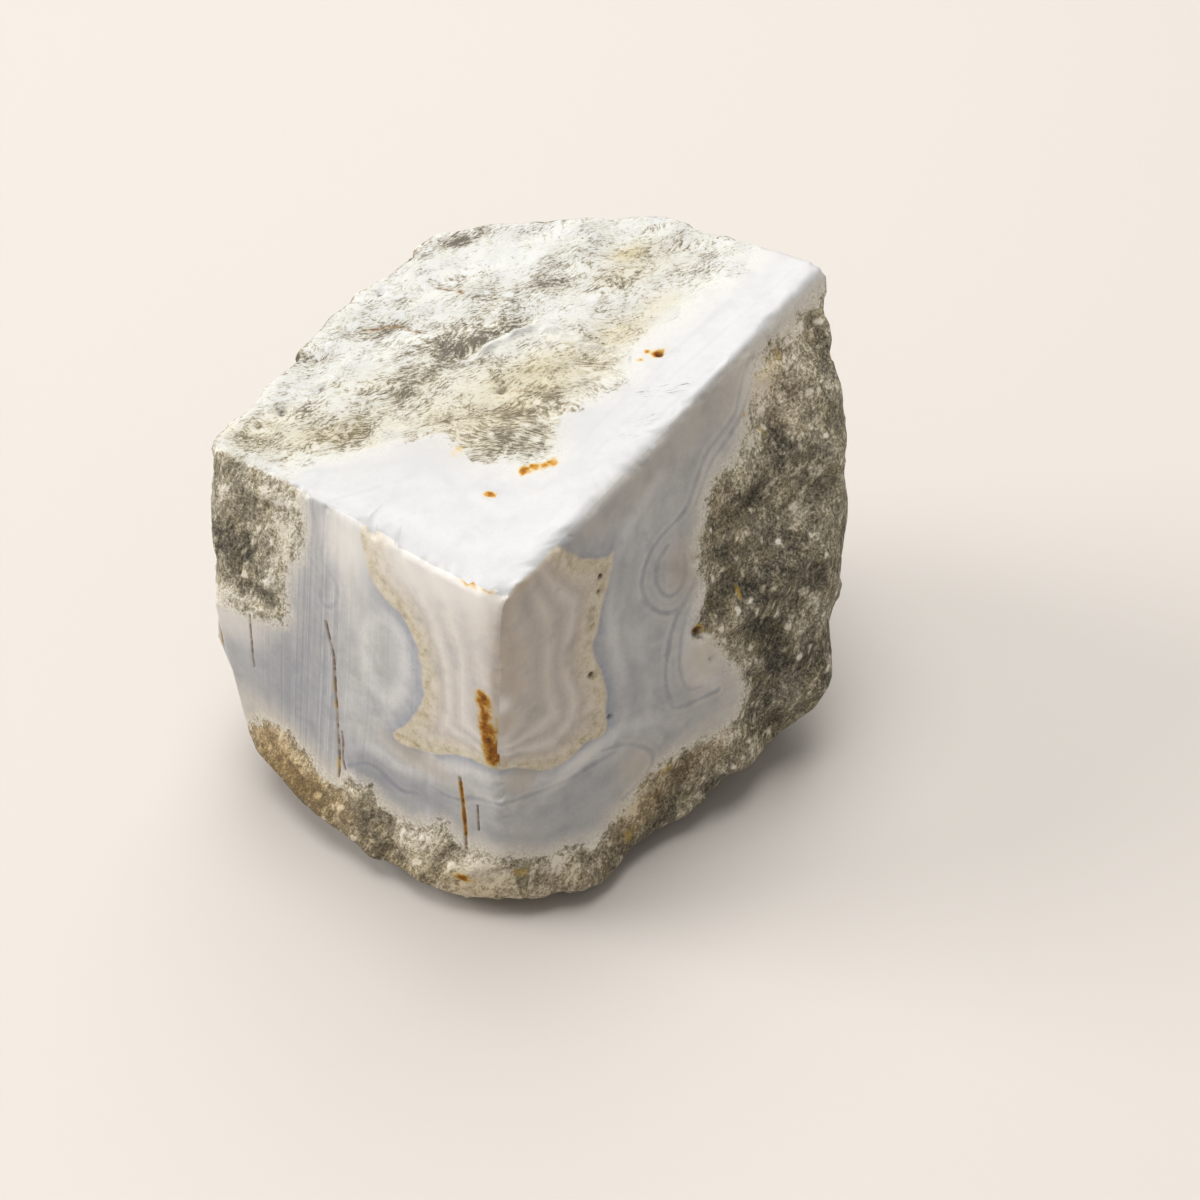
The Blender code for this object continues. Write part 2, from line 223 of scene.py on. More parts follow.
# Rust: middle, reach each way, turn in degrees, strength.
RUST = {
    TOP: [
        ((13.1, 0.1), (0.7, 0.5), 40, 1.0), ((12.9, 0.1), (1.5, 0.9), 20, 0.36),
        ((12.0, 0.4), (0.35, 0.35), 0, 0.7), ((11.3, -0.7), (0.5, 0.3), 0, 0.6),
        ((-6.6, -11.1), (0.8, 1.0), 0, 0.36),
        ((0.1, -14.6), (0.55, 0.6), 0, 0.9), ((1.0, -14.1), (0.5, 0.5), 0, 0.9),
        ((2.7, -13.7), (0.5, 0.6), 0, 0.80), ((1.8, -14.1), (2.0, 0.8), 14, 0.36),
        ((1.9, -14.2), (1.2, 0.35), 15, 0.5), ((-3.1, -17.3), (0.75, 0.34), -25, 0.85),
        ((0.7, -17.3), (0.8, 0.25), -20, 0.4),
    ],
    LEFT: [
        ((4.9, 44.2), (1.6, 0.45), 0, 0.5), ((2.3, 44.5), (1.2, 0.35), 0, 0.4),
        ((3.5, 5.7), (1.1, 0.5), 20, 0.7), ((20.9, 23.0), (0.35, 1.6), 0, 0.32),
        ((38.0, 19.3), (0.4, 1.5), 0, 0.7), ((20.6, 20.4), (0.4, 0.8), 0, 0.40),
        ((19.6, 13.2), (0.5, 1.4), 0, 0.32), ((1.2, 22.6), (1.2, 1.0), 0, 0.36),
    ],
    RIGHT: [
        ((24.2, 26.0), (0.9, 0.7), 20, 0.62), ((37.8, 42.0), (0.3, 0.8), 10, 0.42),
        ((30.1, 27.7), (0.35, 0.9), 0, 0.5), ((42.6, 47.8), (0.3, 0.7), -20, 0.42),
        ((17.8, 11.0), (1.4, 0.9), 30, 0.28), ((12.3, 5.3), (1.8, 1.2), 30, 0.26),
        ((6.1, 42.6), (3.0, 1.2), 20, 0.12), ((-0.6, 7.0), (1.5, 0.9), 0, 0.36),
        ((36.0, 44.6), (0.3, 0.5), 0, 0.4),
    ],
}

# Rust that has run down a crack: the line, half its width and its strength.
RUST_RUNS = {
    LEFT: [
        ([(2.5, 31.2), (2.35, 29.6), (2.25, 28.0), (2.0, 26.2), (1.7, 24.4), (1.3, 22.8)], 0.85, 0.78),
        ([(1.9, 27.8), (1.6, 26.0), (1.2, 23.6)], 1.5, 0.42),
        ([(5.0, 17.9), (4.75, 15.9), (4.5, 13.4), (4.2, 10.9)], 0.30, 0.62),
    ],
}

# Washes of colour: middle, reach each way, turn in degrees, and how pale, warm and dark it goes.
WASHES = {
    TOP: [
        ((-4.0, -4.0), (12, 4.5), 25, (-0.40, 0.30, 0.30)),
        ((-1.0, -9.5), (9, 3.6), 12, (-0.85, 0.15, 0.75)),
        ((-6.7, 7.4), (5.5, 2.6), 15, (-0.55, 0.0, 0.35)),
        ((0.0, 13.0), (6, 2.6), 25, (-0.4, 0.0, 0.3)),
        ((9.5, 13.5), (3.2, 2.4), 30, (-0.35, 0.1, 0.35)),
        ((12.8, 15.4), (4.5, 3.0), 20, (0.15, 0.15, -0.05)),
        ((-17.0, 1.0), (5.5, 2.6), 15, (-0.25, 0.05, 0.2)),
        ((-12.0, 0.5), (4, 2.4), 15, (-0.3, 0.1, 0.2)),
        ((-13.9, 11.4), (1.7, 0.7), 10, (-0.6, 0.0, 0.7)),
        ((-18.5, 10.5), (3.2, 1.0), 15, (-0.5, 0.0, 0.6)),
        ((-8.5, 24.0), (2.6, 1.0), 5, (-0.9, 0.0, 0.8)),
        ((-5.2, 6.3), (3.6, 1.3), 25, (-0.4, 0.0, 0.45)),
        ((1.9, 25.0), (2.4, 0.6), 0, (-0.6, 0.0, 0.4)),
        ((9.1, 12.8), (1.9, 1.6), 0, (-0.3, 0.0, 0.4)),
        ((-28.0, -5.5), (1.8, 1.4), 0, (-0.8, 0.0, 0.5)),
        ((-22.5, -1.6), (2.6, 1.8), 0, (-0.4, 0.0, 0.4)),
        ((-19.0, -5.0), (4.5, 1.7), 18, (-0.45, 0.3, 0.35)),
        ((-26.0, -4.0), (4.5, 3.0), 0, (-0.1, 0.3, 0.0)),
        ((-20.0, 13.0), (5.0, 3.0), 25, (-0.2, 0.0, 0.15)),
        ((-20.0, -7.3), (4.0, 1.8), 8, (-0.2, 0.1, 0.30)),
        ((10.0, 4.4), (2.6, 2.2), 20, (-0.1, 0.35, 0.15)),
        ((13.5, 8.4), (2.4, 1.8), 30, (0.0, 0.3, 0.0)),
        ((-5.6, 19.7), (3.5, 2.0), 0, (0.2, 0.0, -0.1)),
        ((10.2, 17.4), (1.8, 1.1), 0, (0.0, 0.6, 0.0)),
        ((2.0, -0.5), (6.5, 3.2), 20, (-0.12, 0.26, 0.0)),
        ((5.4, 9.3), (2.6, 2.2), 0, (0.0, 0.0, 0.12)),
        ((9.6, 14.6), (2.4, 1.8), 30, (0.35, 0.1, -0.1)),
        ((-25.8, -11.0), (2.4, 1.6), 0, (0.35, 0.0, 0.0)),
    ],
    LEFT: [
        # The pale washes on this face's upper part are partly painted light, the face growing lighter towards
        # the top where more light falls, and partly the agate's own paler colour.
        ((14.3, 30.0), (1.5, 3.4), 0, (0.0, 0.0, 0.14)),
        ((18.0, 34.0), (3.0, 6.0), 0, (0.15, 0.05, 0.0)),
        ((5.0, 33.0), (5.0, 12.0), 0, (0.25, 0.0, 0.0)),
        ((10.3, 18.8), (4.0, 1.5), 10, (-0.1, 0.5, 0.10)),
        ((25.5, 24.0), (4.8, 13.0), 0, (0.0, 0.0, 0.62)),
        ((14.6, 36.5), (2.2, 3.4), 35, (0.0, 0.0, 0.30)),
        ((20.5, 40.5), (2.6, 4.0), 0, (0.35, 0.0, 0.0)),
        ((33.5, 18.0), (7.0, 5.0), 0, (0.0, 0.0, 0.50)),
        ((36.0, 22.5), (4.0, 2.0), 0, (0.35, 0.0, 0.0)),
        ((15.5, 14.6), (4.5, 2.2), 15, (0.0, 0.0, 0.80)),
        ((5.0, 13.6), (6.0, 3.2), 0, (0.0, 0.0, 0.38)),
        ((8.6, 14.6), (2.4, 1.8), 0, (0.0, 0.0, 0.45)),
        ((0.0, 30.4), (0.7, 1.0), 0, (1.0, -0.3, 0.0)),
        ((9.0, 43.8), (13.0, 4.0), -12, (0.9, 0.0, 0.0)),
        ((29.0, 7.5), (5.5, 4.5), 20, (0.15, 0.85, 0.0)),
        ((21.0, 7.0), (4.5, 3.5), 0, (0.1, 0.55, 0.1)),
        ((13.8, 5.8), (3.4, 3.2), 0, (0.15, 0.05, 0.1)),
        ((9.5, 7.6), (2.6, 2.2), 0, (0.15, 0.0, 0.0)),
        ((6.0, 4.0), (6.0, 3.0), 0, (0.36, 0.3, 0.0)),
        ((1.0, 4.4), (3.4, 3.6), 0, (1.10, 0.2, 0.0)),
        ((33.0, 33.0), (6.5, 7.5), 0, (0.10, 0.0, 0.0)),
        ((23.9, 40.5), (0.8, 3.6), 0, (-0.1, 0.0, 0.45)),
        ((22.0, 35.6), (0.9, 2.6), 25, (0.0, 0.0, 0.40)),
        ((20.2, 37.6), (0.9, 3.2), 15, (0.10, 0.0, 0.0)),
        ((28.6, 39.0), (1.6, 5.0), 0, (0.75, 0.0, 0.0)),
        ((37.5, 27.0), (2.5, 3.0), 0, (0.3, 0.0, 0.0)),
    ],
    RIGHT: [
        ((30.0, 47.6), (30, 2.6), 9, (0.0, 0.30, 0.22)),
        ((0.2, 30.4), (0.9, 1.0), 0, (1.0, -0.3, 0.0)),
        ((0.3, 24.6), (0.6, 1.4), 0, (0.5, 0.0, 0.0)),
        ((1.6, 19.6), (1.8, 1.6), 0, (0.0, 0.5, 0.35)),
        ((7.5, 17.6), (4.0, 0.8), 25, (0.5, 0.0, 0.0)),
        ((3.2, 45.2), (3.4, 1.3), 20, (0.0, 0.5, 0.3)),
        ((24.0, 33.6), (2.0, 2.6), 0, (0.0, 0.45, 0.1)),
        ((24.0, 22.6), (1.9, 3.0), 0, (0.35, 0.6, -0.15)),
        ((6.0, 33.0), (5.5, 9.0), 0, (0.0, 0.28, 0.12)),
        ((1.0, 36.0), (2.6, 8.0), 0, (0.05, 0.2, 0.15)),
        ((7.5, 13.6), (9.0, 3.6), 0, (0.0, 0.0, 0.30)),
        ((7.0, 14.6), (4.5, 1.8), 8, (0.0, 0.0, 0.22)),
        ((20.0, 28.0), (8.0, 16.0), 0, (0.0, 0.0, 0.30)),
        ((14.5, 13.6), (1.8, 2.2), 0, (0.1, 0.45, 0.0)),
        ((16.8, 30.0), (2.4, 4.0), 0, (0.12, 0.0, 0.0)),
        ((15.8, 37.5), (1.5, 3.0), 0, (0.0, 0.10, 0.30)),
        ((15.0, 24.0), (1.8, 3.0), 0, (0.0, 0.0, 0.25)),
        ((5.5, 9.8), (3.5, 1.6), 0, (0.0, 0.0, 0.35)),
        ((38.5, 47.6), (1.6, 1.2), 30, (0.35, 0.10, 0.0)),
        ((2.6, 4.2), (4.4, 3.0), 0, (0.60, 0.2, 0.0)),
        ((14.5, 7.5), (4.5, 2.4), 30, (0.15, 0.45, 0.0)),
        ((22.0, 9.8), (4.0, 1.8), 10, (0.25, 0.25, 0.0)),
        ((34.0, 32.0), (5.5, 9.0), 0, (0.0, 0.0, 0.50)),
        ((33.0, 21.0), (5.0, 6.0), 0, (0.0, 0.0, 0.25)),
        ((40.6, 45.0), (3.4, 3.8), 0, (0.55, 0.15, 0.0)),
        ((30.6, 37.0), (1.4, 3.2), 0, (0.35, 0.15, 0.0)),
        ((38.4, 32.1), (1.8, 1.0), 0, (0.45, 0.0, 0.0)),
    ],
}

# Where the top's rock takes streaks that fan out: middle, reach each way, turn in degrees and strength.
SCORED = {TOP: [((-1.0, -9.5), (10, 4.2), 12, 1.0), ((6.0, -3.5), (6, 3.0), 40, 0.7)]}
# Where its agate takes a few short scratches: the same.
SCRATCHED = {
    TOP: [
        ((13.6, -5.2), (2.8, 1.3), 12, 1.0), ((11.9, -9.4), (1.6, 0.8), 12, 1.0),
        ((9.8, -11.4), (1.2, 0.5), 12, 0.8),
    ],
}
# Where the saw blade left upright streaks: the same.
SAW_STREAKS = {LEFT: [((24.5, 28.0), (5.5, 20.0), 0, 1.0), ((18.0, 20.0), (18.0, 20.0), 0, 0.4)]}

# The markings that the material reads as they are drawn, and two more that shape the stone. The shaping
# adds two that the material reads as well.
LOOKS = ("seam", "band", "lace", "milk", "pale", "warm", "dark", "rust", "crack", "saw", "across", "scored",
         "bleach")
MARKS = LOOKS + ("pit", "drawn")
# relief carries painted light and shade from the rock's height, and hollow the depth of pits and grooves that
# take painted shade.
SHAPED = ("relief", "hollow")
WASHED = ("pale", "warm", "dark")

# A distance that is far from everything.
NOT_NEAR = 99.0
# How the soft edge of an oval fades, and how sharply a wash and the saw's streaks end.
OVAL_FADE = (1.2, 0.7)
WASH_POWER = 4
SAW_POWER = 6
# The depth inside the cream where a face has none.
NO_CREST = -8.0
# Part of the upright front edge, in mm along a side face and up. The cream bands run round it.
FRONT_EDGE = [(0.0, 27.0), (0.0, 60.0)]
# Added to the distance from the seam and from the front edge, in mm, so that the bands keep some width.
SEAM_ROOM = 0.05
EDGE_ROOM = 0.3
# The banding reaches this place on the top and on the hidden sides, there over this many mm.
TOP_BANDS = 0.42
HIDDEN_BANDS = 6.0
# How far agate reaches behind each sawn face on the hidden sides, and how far washes do.
HIDDEN_REACH = {TOP: 2.4, LEFT: 5.5, RIGHT: 3.0}
WASH_REACH = 7.0


def fresh_object(name, data):
    """Show a mesh, a lamp or a camera as a new object of the scene."""
    made = bpy.data.objects.new(name, data)
    bpy.context.scene.collection.objects.link(made)
    return made


def ease(low, high, value):
    """A smooth 0 to 1 between two values."""
    share = np.clip((value - low) / (high - low), 0.0, 1.0)
    return share * share * (3.0 - 2.0 * share)


def rounded(line, rounds):
    """Round the corners of a drawn line by cutting each of them."""
    line = np.asarray(line, float)
    for _ in range(rounds):
        near = line[:-1] * 0.75 + line[1:] * 0.25
        far = line[:-1] * 0.25 + line[1:] * 0.75
        line = np.vstack([line[:1], np.stack([near, far], axis=1).reshape(-1, 2), line[-1:]])
    return line


def to_line(spots, line):
    """How far each spot is from a drawn line, in mm."""
    nearest = np.full(len(spots), NOT_NEAR ** 2)
    for start, end in zip(line[:-1], line[1:]):
        run = np.subtract(end, start)
        off = spots - start
        share = np.clip((off @ run) / (run @ run), 0.0, 1.0)
        nearest = np.minimum(nearest, (off[:, 0] - share * run[0]) ** 2 + (off[:, 1] - share * run[1]) ** 2)
    return np.sqrt(nearest)


def to_lines(spots, lines, rounds=0):
    """How far each spot is from the nearest of several lines."""
    nearest = np.full(len(spots), NOT_NEAR)
    for line in lines:
        nearest = np.minimum(nearest, to_line(spots, rounded(line, rounds)))
    return nearest


def within(spots, outline):
    """Which spots lie inside a closed outline."""
    inside = np.zeros(len(spots), bool)
    outline = np.asarray(outline, float)
    for (x0, y0), (x1, y1) in zip(outline, np.roll(outline, -1, axis=0)):
        if y0 == y1:
            continue
        crosses = (spots[:, 1] >= min(y0, y1)) & (spots[:, 1] < max(y0, y1))
        inside ^= crosses & (spots[:, 0] < x0 + (spots[:, 1] - y0) * (x1 - x0) / (y1 - y0))
    return inside


def spread(spots, middle, reach, turn):
    """How far each spot is from a middle, 1 at the reach of a turned oval."""
    angle = math.radians(turn)
    off = spots - np.asarray(middle, float)
    u = (off[:, 0] * math.cos(angle) + off[:, 1] * math.sin(angle)) / reach[0]
    v = (off[:, 1] * math.cos(angle) - off[:, 0] * math.sin(angle)) / reach[1]
    return np.hypot(u, v)


def swell(gap):
    """1 in the middle of a mark, falling softly to a third at a gap of 1."""
    return np.exp(-(gap ** 2))


def on_plane(side, places):
    """Measure places in mm on a sawn face."""
    if side == TOP:
        return (places - TOP_START)[:, :2]
    return np.stack([(places - FRONT_FOOT) @ ALONG[side], places[:, 2]], axis=1)


def below_plane(side, places):
    """How deep places lie under a sawn face, in mm."""
    start = FRONT_CORNER if side == TOP else FRONT_FOOT
    return -(places - start) @ OUTWARD[side]


def faced_side(middles, normals):
    """Which sawn face each facet belongs to, or none."""
    scores = []
    for side in (TOP, LEFT, RIGHT):
        depth = below_plane(side, middles)
        cost = UNDER_COST * depth.clip(0.0) - OVER_COST * depth.clip(None, 0.0)
        scores.append(normals @ OUTWARD[side] - cost)
    scores = np.stack(scores, axis=1)
    best = (scores - [TOP_YIELD, 0.0, 0.0]).argmax(axis=1)
    return np.where(scores.max(axis=1) > SAWN_LEAST, best, BROKEN)


def seam_depth(side, spots):
    """How far inside the agate each spot is, in mm, and below 0 in the host rock."""
    lines = SEAM[side]
    outline = [point for line in lines for point in line] + SEAM_CLOSING[side]
    gap = to_lines(spots, lines)
    return np.where(within(spots, outline), gap, -gap)


def crest_depth(side, spots):
    """How far inside the cream agate each spot is, in mm."""
    if side not in CREST:
        return np.full(len(spots), NO_CREST)
    crest = rounded(CREST[side], 1)
    gap = to_line(spots, crest)
    return np.where(within(spots, list(crest) + CREST_CLOSING[side]), gap, -gap)


def band_place(side, spots, places, seam):
    """Where each spot lies in the banding: 0 at the host rock, 0.5 at the crest, 1 at the front edge."""
    inner = np.maximum(seam, 0.0) + SEAM_ROOM
    if side == TOP:
        edge = np.minimum(below_plane(LEFT, places), below_plane(RIGHT, places)).clip(0.0) + SEAM_ROOM
        return TOP_BANDS * inner / (inner + edge)
    crest = crest_depth(side, spots)
    edge = to_line(spots, FRONT_EDGE) + EDGE_ROOM
    cream = 0.5 + 0.5 * crest.clip(0.0) / (crest.clip(0.0) + edge)
    blue = 0.5 - 0.5 * (-crest).clip(0.0) / ((-crest).clip(0.0) + inner)
    return np.where(crest > 0.0, cream, blue)


def wash(side, spots):
    """How pale, warm and dark the washes turn each spot."""
    washed = {name: np.zeros(len(spots)) for name in WASHED}
    for middle, reach, turn, amounts in WASHES[side]:
        share = 1.0 / (1.0 + spread(spots, middle, reach, turn) ** WASH_POWER)
        for name, amount in zip(washed, amounts):
            washed[name] += amount * share
    return washed


def marks_on(side, places):
    """Every marking's value at places on one sawn face."""
    spots = on_plane(side, places)
    marks = {name: np.zeros(len(places)) for name in MARKS}
    marks["seam"] = seam_depth(side, spots)
    marks["band"] = band_place(side, spots, places, marks["seam"])
    marks["lace"] = to_lines(spots, LACE.get(side, ()), 2)
    marks["milk"] = to_lines(spots, MILK.get(side, ()), 1)
    marks["drawn"] = to_lines(spots, [line for line, half in CRACKS.get(side, ())])
    marks["bleach"] += float(side == TOP)
    for line, half in CRACKS.get(side, ()):
        marks["crack"] = np.maximum(marks["crack"], swell(to_line(spots, rounded(line, 1)) / half))
    for middle, radius, depth in PITS.get(side, ()):
        marks["pit"] = np.maximum(marks["pit"], depth * swell(spread(spots, middle, (radius, radius), 0)))
    # A vein of height below 0 is a groove darkened with painted shadow.
    for line, half, height in VEINS.get(side, ()):
        gap = to_line(spots, line)
        marks["drawn"] = np.minimum(marks["drawn"], gap)
        marks["pale"] += VEIN_PALENESS * height * swell(gap / half)
        marks["pit"] -= height * swell(gap / half)
    for middle, reach, turn, strength in RUST[side]:
        marks["rust"] = np.maximum(marks["rust"], strength * swell(spread(spots, middle, reach, turn)))
    for line, half, strength in RUST_RUNS.get(side, ()):
        marks["rust"] = np.maximum(marks["rust"], strength * swell(to_line(spots, rounded(line, 1)) / half))
    for ovals, chosen in ((SCORED, marks["seam"] < 0.0), (SCRATCHED, marks["seam"] > 0.0)):
        for middle, reach, turn, strength in ovals.get(side, ()):
            share = strength * ease(*OVAL_FADE, spread(spots, middle, reach, turn)) * chosen
            marks["scored"] = np.maximum(marks["scored"], share)
    for name, values in wash(side, spots).items():
        marks[name] += values
    marks["across"] = spots[:, 0]
    for middle, reach, turn, strength in SAW_STREAKS.get(side, ()):
        marks["saw"] += strength / (1.0 + spread(spots, middle, reach, turn) ** SAW_POWER)
    return marks


def marks_hidden(places):
    """Marks of a hidden side: a little agate behind the sawn faces, and host rock beyond."""
    marks = {name: np.zeros(len(places)) for name in MARKS}
    for name in ("lace", "milk", "drawn"):
        marks[name] += NOT_NEAR
    marks["seam"] -= NOT_NEAR
    for side, reach in HIDDEN_REACH.items():
        depth = below_plane(side, places)
        found = np.minimum(seam_depth(side, on_plane(side, places)), reach - depth)
        marks["seam"] = np.maximum(marks["seam"], found)
    marks["band"] = TOP_BANDS * ease(0.0, HIDDEN_BANDS, marks["seam"])
    for side in (LEFT, RIGHT):
        nearness = ease(WASH_REACH, 0.0, below_plane(side, places))
        for name, values in wash(side, on_plane(side, places)).items():
            marks[name] += values * nearness
    return marks


def read_marks(sides, owners, places):
    """Every marking's value at each corner, given the corner's side and the place that it stands on."""
    marks = {name: np.zeros(len(owners)) for name in MARKS}
    for side in (TOP, LEFT, RIGHT, BROKEN):
        here = np.flatnonzero(sides == side)
        stood_on, back = np.unique(owners[here], return_inverse=True)
        found = marks_hidden(places[stood_on]) if side == BROKEN else marks_on(side, places[stood_on])
        for name, values in found.items():
            marks[name][here] = values[back]
    for name in WASHED:
        marks[name] = marks[name].clip(-1.0, 1.0)
    return marks


def mesh_arrays(mesh):
    """A triangle mesh's places in mm, and its triangles."""
    places = np.empty(len(mesh.vertices) * 3)
    mesh.vertices.foreach_get("co", places)
    corners = np.empty(len(mesh.loops), np.int64)
    mesh.loops.foreach_get("vertex_index", corners)
    return places.reshape(-1, 3) / MM, corners.reshape(-1, 3)


def facet_sides(places, triangles):
    """The side that each triangle belongs to."""
    a, b, c = (places[triangles[:, k]] for k in range(3))
    normals = np.cross(b - a, c - a)
    normals /= np.linalg.norm(normals, axis=1)[:, None] + 1e-12
    return faced_side((a + b + c) / 3.0, normals)


def corner_marks(places, triangles):
    """The side that each triangle belongs to, and every marking's value at its corners."""
    sides = facet_sides(places, triangles)
    return sides, read_marks(sides.repeat(3), triangles.ravel(), places)


def at_vertices(values, triangles, count):
    """The mean at each vertex of what its corners hold."""
    flat = triangles.ravel()
    return np.bincount(flat, values, count) / np.maximum(np.bincount(flat, minlength=count), 1)


# Every edge of the solid is cut this many times.
FINE_CUTS = 3
# It is cut once more this near a drawn line, and twice more this near a crack or a vein.
DRAWN_REACH = 0.8
CRACK_REACH = 0.55
# Lace is cut fine this far past the seam too, pits from this depth, and rust on the top from this strength.
PAST_SEAM = 0.5
PIT_LEAST = 0.05
RUST_LEAST = 0.08
# The rock between the facets is smoothed this far from the seam and this far above the ground.
ROCK_INSET = 0.6
ABOVE_GROUND = 0.05
SMOOTHING_ROUNDS = 4
# A sawn edge is worn this far from it, and the upright front edge further.
EDGE_WEAR = 1.1
EDGE_ROUNDS = 10
FRONT_WEAR = 2.4
FRONT_ROUNDS = 30


def cut_again(shape, chosen):
    """Cut the chosen triangles' edges in half."""
    shape.faces.ensure_lookup_table()
    shape.edges.index_update()
    edges = {edge for index in np.flatnonzero(chosen) for edge in shape.faces[index].edges}
    bmesh.ops.subdivide_edges(shape, edges=sorted(edges, key=lambda edge: edge.index), cuts=1)
    bmesh.ops.triangulate(shape, faces=shape.faces[:])


def gap_to(places, chosen):
    """How far each place is from the nearest chosen one, in mm."""
    tree = KDTree(int(chosen.sum()))
    for number, index in enumerate(np.flatnonzero(chosen)):
        tree.insert(places[index], number)
    tree.balance()
    return np.array([tree.find(place)[2] for place in places])


def sawn_edges(places, triangles):
    """Which vertices lie on an edge between two sawn faces, and which on the upright front edge."""
    sides = facet_sides(places, triangles)
    on_side = {
        side: at_vertices((sides == side).repeat(3).astype(float), triangles, len(places)) > 0.0
        for side in (TOP, LEFT, RIGHT, BROKEN)
    }
    on_edge = sum(on.astype(int) for on in on_side.values()) > 1
    return on_edge, on_side[LEFT] & on_side[RIGHT]


def soften(shape, chosen, rounds):
    """Smooth the chosen vertices."""
    shape.verts.ensure_lookup_table()
    verts = [shape.verts[index] for index in np.flatnonzero(chosen)]
    every_axis = {f"use_axis_{axis}": True for axis in "xyz"}
    for _ in range(rounds):
        bmesh.ops.smooth_vert(shape, verts=verts, factor=0.5, **every_axis)


def facet_marks(mesh, shape):
    """The markings at the middle of each triangle of a shape."""
    shape.to_mesh(mesh)
    places, triangles = mesh_arrays(mesh)
    sides = facet_sides(places, triangles)
    return read_marks(sides, np.arange(len(triangles)), places[triangles].mean(axis=1))


def rusty_on_top(mesh, shape, least):
    """Which triangles on top of a shape have a corner where the rust is above this strength."""
    shape.to_mesh(mesh)
    sides, marks = corner_marks(*mesh_arrays(mesh))
    return (sides == TOP) & (marks["rust"].reshape(-1, 3).max(axis=1) > least)


def cut_fine(source):
    """Copy the solid's mesh and cut it fine, finer still where a line, a crack or a pit is drawn."""
    shape = bmesh.new()
    shape.from_mesh(source)
    bmesh.ops.remove_doubles(shape, verts=shape.verts, dist=1e-6)
    bmesh.ops.subdivide_edges(shape, edges=shape.edges[:], cuts=FINE_CUTS, use_grid_fill=True)
    bmesh.ops.triangulate(shape, faces=shape.faces[:])
    mesh = bpy.data.meshes.new("stone")
    marks = facet_marks(mesh, shape)
    near = (marks["lace"] < DRAWN_REACH) & (marks["seam"] > -PAST_SEAM)
    cut_again(shape, near | (marks["drawn"] < DRAWN_REACH) | (marks["pit"] > PIT_LEAST))
    cut_again(shape, facet_marks(mesh, shape)["drawn"] < CRACK_REACH)
    for least in (RUST_LEAST, 4 * RUST_LEAST):
        cut_again(shape, rusty_on_top(mesh, shape, least))
    shape.to_mesh(mesh)
    places, triangles = mesh_arrays(mesh)
    seam = at_vertices(corner_marks(places, triangles)[1]["seam"], triangles, len(places))
    soften(shape, (seam < -ROCK_INSET) & (places[:, 2] > ABOVE_GROUND), SMOOTHING_ROUNDS)
    on_edge, on_front = sawn_edges(places, triangles)
    soften(shape, gap_to(places, on_edge) < EDGE_WEAR, EDGE_ROUNDS)
    soften(shape, gap_to(places, on_front) < FRONT_WEAR, FRONT_ROUNDS)
    shape.to_mesh(mesh)
    shape.free()
    return mesh


# The rock's relief in mm: height, size and the start of each noise, then tilt, size and start of its chips.
ROCK_NOISES = ((0.07, 0.8, (0, 0, 0)), (0.08, 1.7, (7, 3, 1)), (0.26, 4.2, (1, 5, 9)))
ROCK_CHIPS = ((0.24, 5.0, (0, 0, 0)), (0.13, 2.1, (3, 1, 2)))
# How sharply one chip of rock gives way to the next.
CHIP_STEP = 12.0


def chip(place, size, tilt):
    """The height of a flat chip of rock that tilts its own way."""
    gaps, seeds = noise.voronoi(place / size)
    height = 0.0
    total = 0.0
    for gap, seed in zip(gaps, seeds):
        weight = math.exp(-CHIP_STEP * (gap - gaps[0]))
        lean = Vector((noise.cell(seed * 7.31), noise.cell(seed * 5.17 + Vector((9, 0, 0))),
                       noise.cell(seed * 3.77 + Vector((0, 9, 0))))) - Vector((0.5, 0.5, 0.5))
        height += weight * lean.dot(place - seed * size) * tilt
        total += weight
    return height / total


def rock_height(place):
    """How far broken host rock stands out here, in mm."""
    lumps = sum(height * noise.noise(place / size + Vector(start)) for height, size, start in ROCK_NOISES)
    return lumps + sum(chip(place + Vector(start), size, tilt) for tilt, size, start in ROCK_CHIPS)


# The rock's relief starts and is full this far from the seam. It is less on a sawn side, less again on the
# top, and lies a little under the agate.
ROUGH_FROM = 0.1
ROUGH_FULL = 1.4
SAWN_CALM = 0.40
TOP_CALM = 0.32
ROCK_SINK = 0.10
# Relief of this height is the palest, and as deep the darkest: painted light on the rock's raised grains and
# painted shade in its low spots.
RELIEF_FULL = 0.5
# Near a sawn edge only this share of the relief is left, and all of it this far away.
EVEN_SHARE = 0.45
EVEN_REACH = 2.8
# A sawn edge has lost small chips: how deep, how wide, and how far from the edge they reach. They come where
# the noise is above the first of these, and are full at the second.
CHIP_DEPTH = 0.26
CHIP_WIDTH = 1.0
CHIP_REACH = 1.1
CHIP_NOISE = (0.12, 0.55)
# A pale vein's height comes and goes where it is above this: the share without the noise, how much the
# noise adds, and the noise's size.
VEIN_LEAST = 0.01
VEIN_NOISE = (0.75, 1.5, 1.1)
CRACK_DEPTH = 0.14
# What lies this close to the ground stays where it is.
GROUNDED = 0.02


